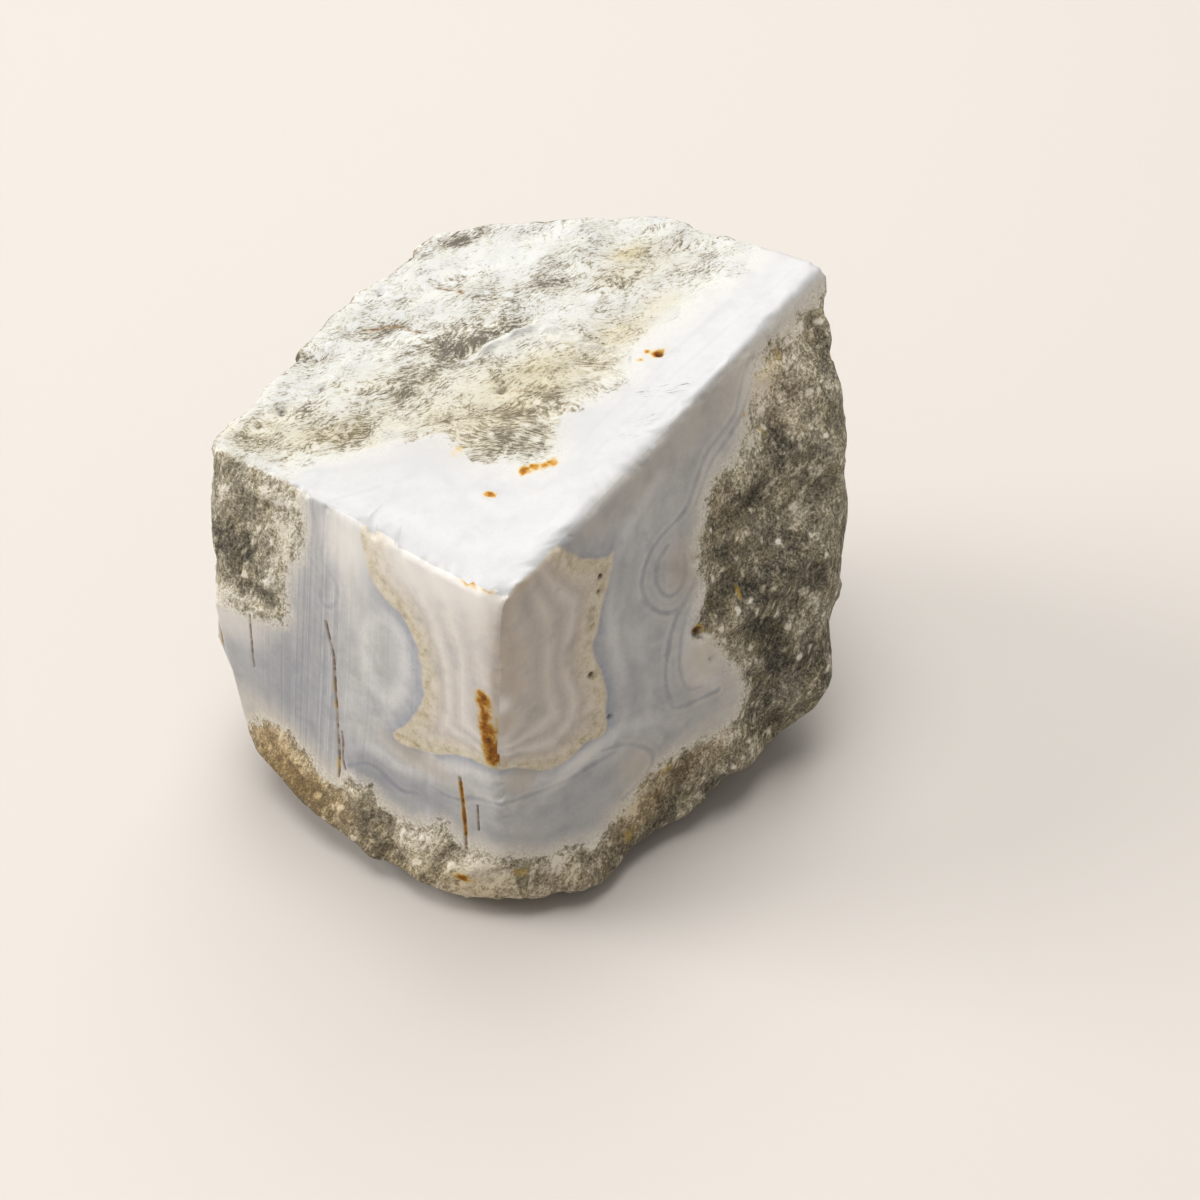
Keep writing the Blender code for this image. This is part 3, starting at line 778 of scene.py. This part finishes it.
def shape_stone(mesh):
    """Break up the host rock, open cracks and pits, and note every marking on the mesh."""
    places, triangles = mesh_arrays(mesh)
    sides, marks = corner_marks(places, triangles)
    seam, crack, pit, bleach = (
        at_vertices(marks[name], triangles, len(places)) for name in ("seam", "crack", "pit", "bleach")
    )
    marks["bleach"] = bleach[triangles.ravel()]
    normals = np.empty(len(places) * 3)
    mesh.vertices.foreach_get("normal", normals)
    normals = normals.reshape(-1, 3)
    rough = ease(ROUGH_FROM, ROUGH_FULL, -seam)
    lift = np.zeros(len(places))
    for index in np.flatnonzero(rough > 0.0):
        lift[index] = rock_height(Vector(places[index]))
    relief = (lift / RELIEF_FULL).clip(-1.0, 1.0)
    sawn_share = at_vertices((sides != BROKEN).repeat(3).astype(float), triangles, len(places))
    lift = lift * rough * (1.0 - SAWN_CALM * sawn_share - TOP_CALM * bleach) - ROCK_SINK * rough
    edge_gap = gap_to(places, sawn_edges(places, triangles)[0])
    lift *= EVEN_SHARE + (1.0 - EVEN_SHARE) * ease(0.0, EVEN_REACH, edge_gap)
    for index in np.flatnonzero(edge_gap < CHIP_REACH):
        lost = noise.noise(Vector(places[index]) / CHIP_WIDTH + Vector((2, 8, 5)))
        lift[index] -= CHIP_DEPTH * ease(*CHIP_NOISE, lost) * (1.0 - edge_gap[index] / CHIP_REACH)
    share, added, size = VEIN_NOISE
    for index in np.flatnonzero(pit < -VEIN_LEAST):
        pit[index] *= share + added * noise.noise(Vector(places[index]) / size)
    lift -= pit + CRACK_DEPTH * crack
    grounded = places[:, 2] < GROUNDED
    moved = places + normals * lift[:, None]
    moved[:, 2] = np.maximum(moved[:, 2], 0.0)
    moved[grounded] = places[grounded]
    mesh.vertices.foreach_set("co", (moved * MM).ravel())
    # The material paints light and shade from this relief, and painted shade into the hollows.
    marks["relief"] = (relief * rough)[triangles.ravel()]
    marks["hollow"] = marks.pop("pit").clip(0.0, 1.0)
    del marks["drawn"]
    for name, values in marks.items():
        mesh.attributes.new(name, "FLOAT", "CORNER").data.foreach_set("value", values.astype(np.float32))
    mesh.polygons.foreach_set("use_smooth", np.ones(len(mesh.polygons), bool))
    mesh.update()
    return mesh


def tint(hex_colour):
    """Turn an sRGB hex colour to linear."""
    channels = [int(hex_colour[k:k + 2], 16) / 255.0 for k in (1, 3, 5)]
    return tuple(c / 12.92 if c <= 0.04045 else ((c + 0.055) / 1.055) ** 2.4 for c in channels) + (1.0,)


def add_node(tree, kind, sockets=(), output=0, stops=(), **settings):
    """Add a node and return one of its outputs. A socket takes a number, a hex colour or the output that
    feeds it, and stops fill a colour ramp."""
    made = tree.nodes.new("ShaderNode" + kind)
    for name, value in settings.items():
        setattr(made, name, value)
    if stops:
        ramp = made.color_ramp
        while len(ramp.elements) < len(stops):
            ramp.elements.new(1.0)
        for element, (position, colour) in zip(ramp.elements, stops):
            element.position = position
        for element, (position, colour) in zip(ramp.elements, stops):
            element.color = tint(colour)
    for name, value in (sockets if isinstance(sockets, dict) else dict(enumerate(sockets))).items():
        if isinstance(value, bpy.types.NodeSocket):
            tree.links.new(value, made.inputs[name])
        else:
            made.inputs[name].default_value = tint(value) if isinstance(value, str) else value
    return None if output is None else made.outputs[output]


# Numbers of a colour Mix node's sockets and of its output. A plain one has its numbers in 0, 2 and 3.
SHARE, UNDER, OVER, BLENDED = 0, 6, 7, 2
AGATE_BANDS = [
    (0.000, "#CFC8BC"), (0.050, "#C4BEB4"), (0.120, "#B2B0AC"), (0.180, "#BFBCB7"), (0.240, "#B3B2B1"),
    (0.310, "#C2C0BC"), (0.370, "#B7B7B6"), (0.420, "#BFBEBC"), (0.465, "#A6A9AF"), (0.491, "#9296A2"),
    (0.503, "#CDBFA4"), (0.530, "#C6B797"), (0.565, "#D3C7B7"), (0.610, "#C0B3A6"), (0.650, "#DAD1C6"),
    (0.700, "#BEB4AD"), (0.750, "#D9D0C6"), (0.810, "#B9B0AB"), (0.870, "#D6CCC2"), (0.930, "#C0B2A4"),
    (1.000, "#CCBFAE"),
]
# An agate line across its width, from its middle out to 2.5 mm: how strongly its dark streaks show, and the
# pale streak between them.
DARK_STREAKS = [
    (0.00, "#F0F0F0"), (0.07, "#D0D0D0"), (0.13, "#404040"), (0.17, "#000000"), (0.30, "#000000"),
    (0.35, "#5C5C5C"), (0.38, "#5C5C5C"), (0.44, "#181818"), (0.52, "#000000"),
]
PALE_STREAK = [
    (0.10, "#000000"), (0.17, "#707070"), (0.26, "#888888"), (0.33, "#202020"), (0.42, "#303030"),
    (0.60, "#000000"),
]
HOST_ROCK = [
    (0.00, "#2B2820"), (0.20, "#4F4A3D"), (0.40, "#766E5D"), (0.56, "#938A76"), (0.74, "#B8AF9B"),
    (0.88, "#D4CCBC"), (1.00, "#E4DED2"),
]
BLEACHED_ROCK = [
    (0.00, "#5C564B"), (0.20, "#807A6B"), (0.36, "#9C9587"), (0.50, "#AFABA0"), (0.62, "#BAB8B1"),
    (0.75, "#C0BFBA"), (1.00, "#C5C5C2"),
]
RUST_COLOURS = [
    (0.00, "#CFC6A0"), (0.22, "#C8AC54"), (0.42, "#B88C38"), (0.60, "#9C6424"), (0.78, "#7E4C1A"),
    (1.00, "#4C2B0E"),
]


def sawn_agate_in_host_rock():
    """Banded chalcedony left matt by the saw, in crumbly, broken, weathered host rock.

    The agate is smooth and waxy with soft lines, and the rock is dull, gritty and speckled.
    """
    material = bpy.data.materials.new("sawn_blue_lace_agate_and_broken_host_rock")
    material.use_nodes = True
    material.node_tree.nodes.clear()
    node = partial(add_node, material.node_tree)
    seam, band, lace, milk, pale, warm, dark, rust, crack, saw, across, scored, bleach, relief, hollow = (
        node("Attribute", output="Fac", attribute_name=name, attribute_type="GEOMETRY")
        for name in LOOKS + SHAPED
    )
    place = node("TexCoord", output="Object")

    # Soft noises at several sizes in mm. The ones called a wander run from -1 to 1.
    broad, middling, mottle, small, sugar = (
        node("TexNoise", {"Vector": place, "Scale": 1 / (size * MM), "Detail": detail, "Roughness": rough,
                          "Distortion": bend})
        for size, detail, rough, bend in (
            (6.0, 3.0, 0.55, 0.0), (2.4, 3.0, 0.5, 0.0), (1.1, 4.0, 0.6, 0.0), (0.7, 2.0, 0.5, 0.0),
            (0.27, 3.0, 0.7, 0.5),
        )
    )
    broad_wander, middling_wander, small_wander, sugar_wander = (
        node("MapRange", {"Value": value, "From Min": 0.25, "From Max": 0.75, "To Min": -1.0})
        for value in (broad, middling, small, sugar)
    )

    # Agate. Its colour follows the band place, and faint thin lines run along with it.
    shifted = node("Math", (middling_wander, 0.012, band), operation="MULTIPLY_ADD")
    agate = node("ValToRGB", {"Fac": shifted}, stops=AGATE_BANDS)
    phase = node("Math", (middling_wander, 1.3, node("Math", (band, 74.0), operation="MULTIPLY")),
                 operation="MULTIPLY_ADD")
    ripple = node("Math", (node("Math", (phase,), operation="SINE"), 0.055, 0.055), operation="MULTIPLY_ADD")
    # Drawn lines come and go along their length, and are fainter on the top.
    off_line = node("Math", (middling_wander, 0.16, lace), operation="MULTIPLY_ADD")
    off_line = node("Math", (off_line, 0.4), operation="MULTIPLY")
    line_strength = node("MapRange", {"Value": broad, "From Min": 0.36, "From Max": 0.60, "To Min": 0.50,
                                      "To Max": 0.95})
    line_strength = node("Math", (line_strength, node("Math", (bleach, -0.6, 1.0), operation="MULTIPLY_ADD")),
                         operation="MULTIPLY")
    dark_line, pale_line = (
        node("Math", (node("ValToRGB", {"Fac": off_line}, stops=streak), line_strength), operation="MULTIPLY")
        for streak in (DARK_STREAKS, PALE_STREAK)
    )
    off_milk = node("Math", (middling_wander, 0.35, milk), operation="MULTIPLY_ADD")
    milky = node("MapRange", {"Value": off_milk, "From Min": 1.4, "From Max": 0.1, "To Max": 0.60},
                 interpolation_type="SMOOTHSTEP")
    # The saw blade left upright streaks on the left.
    streaks = node("TexNoise", {"W": across, "Scale": 1.6, "Detail": 5.0, "Roughness": 0.75},
                   noise_dimensions="1D")
    streaks = node("Math", (small_wander, 0.04, streaks), operation="MULTIPLY_ADD")
    sawn = node("MapRange", {"Value": middling_wander, "From Min": -0.7, "From Max": 0.4, "To Min": 0.35})
    sawn = node("Math", (saw, sawn), operation="MULTIPLY")
    # There are clouds, sugary specks and smoke in the agate too.
    smoke = node("Math", (broad_wander, 0.35, middling_wander), operation="MULTIPLY_ADD")
    low_streak, high_streak, cloudy, sugary, smoky = (
        node("MapRange", {"Value": value, "From Min": start, "From Max": full, "To Max": most})
        for value, start, full, most in (
            (streaks, 0.47, 0.33, 0.54), (streaks, 0.54, 0.68, 0.48), (mottle, 0.40, 0.70, 0.22),
            (sugar, 0.50, 0.36, 0.14), (smoke, 0.0, -1.1, 0.42),
        )
    )
    low_streak = node("Math", (low_streak, sawn), operation="MULTIPLY")
    high_streak = node("Math", (high_streak, sawn), operation="MULTIPLY")
    # The washes, and the top, which is drier and whiter than the sides.
    darkened, warmed, whitened, dry = (
        node("Math", (value, most), operation="MULTIPLY", use_clamp=True)
        for value, most in ((dark, 0.72), (warm, 0.70), (pale, 0.80), (bleach, 0.62))
    )
    # A sugary cream rim lines the seam, and another the crest.
    rim_depth = node("Math", (small_wander, 0.45, seam), operation="MULTIPLY_ADD")
    rim = node("MapRange", {"Value": rim_depth, "From Min": 1.7, "From Max": 0.1, "To Max": 0.62},
               interpolation_type="SMOOTHSTEP")
    rim = node("Math", (rim, node("Math", (bleach, -0.8, 1.0), operation="MULTIPLY_ADD")),
               operation="MULTIPLY")
    rim_colour = node("ValToRGB", {"Fac": sugar}, stops=[
        (0.34, "#A39881"), (0.47, "#C9C0AE"), (0.62, "#DED8CB")])
    past_crest = node("MapRange", {"Value": band, "From Min": 0.495, "From Max": 0.51})
    before_cream = node("MapRange", {"Value": band, "From Min": 0.62, "From Max": 0.52, "To Max": 0.8})
    crest = node("Math", (past_crest, before_cream), operation="MULTIPLY")
    crumbs = node("Math", (sugar_wander, 0.10, mottle), operation="MULTIPLY_ADD")
    crest_colour = node("ValToRGB", {"Fac": crumbs}, stops=[
        (0.28, "#8C7C5E"), (0.38, "#B3A484"), (0.50, "#C9BDA3"), (0.66, "#D8CEBA")])
    for share, over in (
        (ripple, "#8D9099"), (dark_line, "#858790"), (pale_line, "#D2CCC2"), (milky, "#DCDAD7"),
        (low_streak, "#7F8592"), (high_streak, "#DADCDD"), (cloudy, "#E2DFDA"), (sugary, "#857C72"),
        (smoky, "#7B7D84"), (darkened, "#737783"), (warmed, "#B9A684"), (whitened, "#E8E3DC"),
        (dry, "#BABABA"), (rim, rim_colour), (crest, crest_colour),
    ):
        agate = node("Mix", {SHARE: share, UNDER: agate, OVER: over}, BLENDED, data_type="RGBA")

    # Host rock: sugary grit, pale crystals 1 mm wide, long soft blotches and a slow drift of tone.
    grain_place, blotch_place, fleck_place = (
        node("Mapping", {"Vector": place, "Rotation": turn, "Scale": (width * MM, width * MM, length * MM)},
             vector_type="TEXTURE")
        for turn, width, length in (((0.5, 0.6, 0.3), 1.2, 1.9), ((0.35, 0.25, 0.9), 1.1, 2.8),
                                    ((0.30, 0.35, 0.6), 0.38, 0.95))
    )
    bent = node("TexNoise", {"Vector": grain_place, "Scale": 1.2, "Detail": 2.0}, "Color")
    bent_place = node("VectorMath", (bent, (0.8, 0.8, 0.8), grain_place), operation="MULTIPLY_ADD")
    crystal_tone = node("TexVoronoi", {"Vector": bent_place, "Scale": 1.0}, "Color")
    crystal_gap = node("TexVoronoi", {"Vector": bent_place, "Scale": 1.0}, "Distance")
    tone = node("SeparateColor", {"Color": crystal_tone})
    chosen = node("MapRange", {"Value": tone, "From Min": 0.70, "From Max": 0.92})
    crystal_gap = node("Math", (sugar_wander, 0.12, crystal_gap), operation="MULTIPLY_ADD")
    middle = node("MapRange", {"Value": crystal_gap, "From Min": 0.50, "From Max": 0.15},
                  interpolation_type="SMOOTHSTEP")
    crystals = node("Math", (chosen, middle), operation="MULTIPLY")
    blotch = node("TexNoise", {"Vector": blotch_place, "Scale": 1.0, "Detail": 3.0, "Roughness": 0.6})
    blotch = node("MapRange", {"Value": blotch, "From Min": 0.50, "From Max": 0.66})
    flecks = node("TexNoise", {"Vector": fleck_place, "Scale": 1.0, "Detail": 3.0, "Roughness": 0.65,
                               "Distortion": 0.3})
    flecks = node("MapRange", {"Value": flecks, "From Min": 0.3, "From Max": 0.7, "To Min": -1.2,
                               "To Max": 1.2})
    # The top's streaks drift apart and together.
    drift = node("TexNoise", {"Vector": place, "Scale": 1 / (6.0 * MM), "Detail": 1.0}, "Color")
    fanned = node("VectorMath", (drift, (5.0 * MM, 5.0 * MM, 0.0), place), operation="MULTIPLY_ADD")
    combed = []
    for turn, length, width in ((-0.30, 0.80, 0.25), (0.30, 0.58, 0.26), (0.22, 2.4, 0.20)):
        comb_place = node("Mapping", {"Vector": fanned, "Rotation": (0.0, 0.0, turn),
                                      "Scale": (length * MM, width * MM, length * MM)}, vector_type="TEXTURE")
        comb = node("TexNoise", {"Vector": comb_place, "Scale": 1.0, "Detail": 4.0, "Roughness": 0.7,
                                 "Distortion": 0.45})
        combed.append(node("MapRange", {"Value": comb, "From Min": 0.3, "From Max": 0.7, "To Min": -1.3,
                                        "To Max": 1.3}))
    comb_down, comb_up, scratches = combed
    side_grit = node("Mix", {0: 0.35, 2: sugar_wander, 3: flecks}, data_type="FLOAT")
    side_grit = node("Math", (side_grit, 1.25), operation="MULTIPLY")
    top_grit = node("Math", (sugar_wander, 0.6, comb_up), operation="MULTIPLY_ADD")
    top_grit = node("Mix", {0: scored, 2: top_grit, 3: comb_down}, data_type="FLOAT")
    top_grit = node("Math", (top_grit, 1.2), operation="MULTIPLY")
    gritty = node("Mix", {0: bleach, 2: side_grit, 3: top_grit}, data_type="FLOAT")
    near_agate = node("MapRange", {"Value": seam, "From Min": -3.4, "From Max": -0.2, "To Max": 0.20},
                      interpolation_type="SMOOTHSTEP")
    patches = node("Math", (broad_wander, 0.6, middling_wander), operation="MULTIPLY_ADD")
    patches = node("Math", (patches, bleach), operation="MULTIPLY")
    level = node("Math", (gritty, 0.42, 0.42), operation="MULTIPLY_ADD")
    # The relief adds painted light on raised grains and painted shade in low spots.
    for feature, weight in (
        (patches, 0.16), (crystals, 0.58), (blotch, 0.30), (broad_wander, 0.22), (middling_wander, 0.12),
        (relief, 0.10), (pale, 0.42), (dark, -0.24), (near_agate, 1.0), (bleach, 0.33),
    ):
        level = node("Math", (feature, weight, level), operation="MULTIPLY_ADD")
    side_rock = node("ValToRGB", {"Fac": level}, stops=HOST_ROCK)
    top_rock = node("ValToRGB", {"Fac": level}, stops=BLEACHED_ROCK)
    # The rock, its tinge, its gilding and its dust each have a colour on the sides and one on the top.
    rock, tinge_colour, gilt, dust = (
        node("Mix", {SHARE: bleach, UNDER: on_side, OVER: on_top}, BLENDED, data_type="RGBA")
        for on_side, on_top in ((side_rock, top_rock), ("#8D8763", "#C8C5B4"), ("#F2D6A4", "#F2E3BA"),
                                ("#AE925F", "#B4A776"))
    )
    tinge = node("MapRange", {"Value": middling, "From Min": 0.42, "From Max": 0.66, "To Max": 0.5})
    gold = node("Math", (warm, 0.9), operation="MULTIPLY", use_clamp=True)
    golden_dust = node("Math", (gold, 0.25), operation="MULTIPLY")
    for share, over, how in ((tinge, tinge_colour, "SOFT_LIGHT"), (gold, gilt, "MULTIPLY"),
                             (golden_dust, dust, "MIX")):
        rock = node("Mix", {SHARE: share, UNDER: rock, OVER: over}, BLENDED, data_type="RGBA", blend_type=how)

    # The seam crumbles: its edge wanders by half a millimetre, and each side takes a little of the other.
    ragged = seam
    for wander, reach in ((small_wander, 0.55), (middling_wander, 0.70), (sugar_wander, 0.25)):
        ragged = node("Math", (wander, reach, ragged), operation="MULTIPLY_ADD")
    is_agate = node("MapRange", {"Value": ragged, "From Min": -0.45, "From Max": 0.35},
                    interpolation_type="SMOOTHSTEP")
    # Scratches on the agate, rust and the cracks' filling lie over both, and pits and grooves take a dark
    # brown painted shade.
    scratched = node("MapRange", {"Value": scratches, "From Min": -0.40, "From Max": -0.85, "To Max": 0.85})
    scratched = node("Math", (scratched, node("Math", (scored, is_agate), operation="MULTIPLY")),
                     operation="MULTIPLY")
    patchy = node("MapRange", {"Value": mottle, "From Min": 0.34, "From Max": 0.62, "To Min": 0.50,
                               "To Max": 1.25})
    rusty = node("Math", (rust, patchy), operation="MULTIPLY")
    rust_colour = node("ValToRGB", {"Fac": rusty}, stops=RUST_COLOURS)
    rust_share = node("MapRange", {"Value": rusty, "From Min": 0.08, "From Max": 0.50},
                      interpolation_type="SMOOTHSTEP")
    filling = node("ValToRGB", {"Fac": small}, stops=[
        (0.36, "#4E3820"), (0.50, "#765430"), (0.62, "#A58858")])
    filled = node("MapRange", {"Value": small, "From Min": 0.66, "From Max": 0.50, "To Min": 0.35,
                               "To Max": 0.95})
    filled = node("Math", (crack, filled), operation="MULTIPLY")
    # Pits and grooves take a dark brown painted shade, darker where they are deeper.
    pit_depth = node("Math", (small_wander, 0.45, node("Math", (hollow, 1.3), operation="MULTIPLY")),
                     operation="MULTIPLY_ADD")
    pit_shade = node("MapRange", {"Value": pit_depth, "From Min": 0.45, "From Max": 0.95, "To Max": 0.85})
    colour = rock
    for share, over in (
        (is_agate, agate), (scratched, "#6F6B62"), (rust_share, rust_colour), (filled, filling),
        (pit_shade, "#3E3124"),
    ):
        colour = node("Mix", {SHARE: share, UNDER: colour, OVER: over}, BLENDED, data_type="RGBA")

    # Sawn agate is smooth with a faint drag of the blade. The rock is dull and gritty, and rust has no sheen.
    roughness = node("Mix", {0: is_agate, 2: 0.90, 3: 0.50}, data_type="FLOAT")
    grit = node("Math", (crystals, 0.5, gritty), operation="MULTIPLY_ADD")
    grit = node("Math", (grit, node("Math", (bleach, -0.65, 1.0), operation="MULTIPLY_ADD")),
                operation="MULTIPLY")
    blade = node("Math", (streaks, sawn), operation="MULTIPLY")
    height = node("Mix", {0: is_agate, 2: grit, 3: blade}, data_type="FLOAT")
    bump = node("Bump", {"Strength": 0.6, "Distance": 0.14 * MM, "Height": height})
    sheen = node("Math", (rust_share, -0.4, 0.5), operation="MULTIPLY_ADD")
    shader = node("BsdfPrincipled", {"Base Color": colour, "Roughness": roughness, "Normal": bump,
                                     "Specular IOR Level": sheen, "IOR": 1.54})
    node("OutputMaterial", {"Surface": shader}, None)
    return material


def pale_floor():
    """Plain matt laminate, a warm off-white."""
    material = bpy.data.materials.new("plain_matt_pale_laminate")
    material.use_nodes = True
    shader = material.node_tree.nodes["Principled BSDF"]
    shader.inputs["Base Color"].default_value = tint("#BFB9B2")
    shader.inputs["Roughness"].default_value = 0.7
    return material


def build_stone():
    """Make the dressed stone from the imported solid."""
    mesh = shape_stone(cut_fine(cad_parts[NODE].data))
    mesh.materials.append(sawn_agate_in_host_rock())
    stone = fresh_object("dressed_agate_block", mesh)
    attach(stone, "root")
    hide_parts(NODE)


# The stage, in metres: half the floor's width, then the place, width and power of each light and where they
# all look.
FLOOR_REACH = 1.5
LIGHTS = {
    "overhead": ((-0.10, 0.14, 1.30), 0.90, 13.2),
    "back": ((0.10, 0.75, 1.10), 0.90, 6.5),
    "window": ((-1.50, 0.15, 0.90), 0.90, 20.0),
}
LIT_PLACE = Vector((0.0, 0.0, 0.02))
ROOM_LIGHT = 0.44
# The camera, in mm: 242 mm from its target, which it looks down on by 44 degrees.
CAMERA_PLACE = Vector((7.299, -157.41, 168.11))
CAMERA_TARGET = Vector((7.299, 16.667, 0.0))
CAMERA_LENS = 58.87
CAMERA_WIDTH = 36.0


def build_stage():
    """A plain pale floor, two soft lights above it and a window on the left."""
    shape = bmesh.new()
    bmesh.ops.create_grid(shape, x_segments=1, y_segments=1, size=FLOOR_REACH)
    mesh = bpy.data.meshes.new("floor")
    shape.to_mesh(mesh)
    shape.free()
    mesh.materials.append(pale_floor())
    fresh_object("floor", mesh)
    for name, (place, size, power) in LIGHTS.items():
        lamp = bpy.data.lights.new(name, "AREA")
        lamp.shape = "DISK"
        lamp.size = size
        lamp.energy = power
        made = fresh_object(name, lamp)
        made.location = place
        made.rotation_euler = (LIT_PLACE - Vector(place)).to_track_quat("-Z", "Y").to_euler()
    world = bpy.data.worlds.new("soft_room")
    world.use_nodes = True
    room = world.node_tree.nodes["Background"].inputs
    room["Color"].default_value = tint("#F4F1EE")
    room["Strength"].default_value = ROOM_LIGHT
    bpy.context.scene.world = world
    bpy.context.scene.view_settings.view_transform = "Standard"


def place_camera():
    """Look down on the front edge."""
    lens = bpy.data.cameras.new("camera")
    lens.lens = CAMERA_LENS
    lens.sensor_width = CAMERA_WIDTH
    lens.clip_start = 0.01
    camera = fresh_object("camera", lens)
    camera.location = CAMERA_PLACE * MM
    camera.rotation_euler = (CAMERA_TARGET - CAMERA_PLACE).to_track_quat("-Z", "Y").to_euler()
    bpy.context.scene.camera = camera


place_camera()
build_stage()
build_stone()
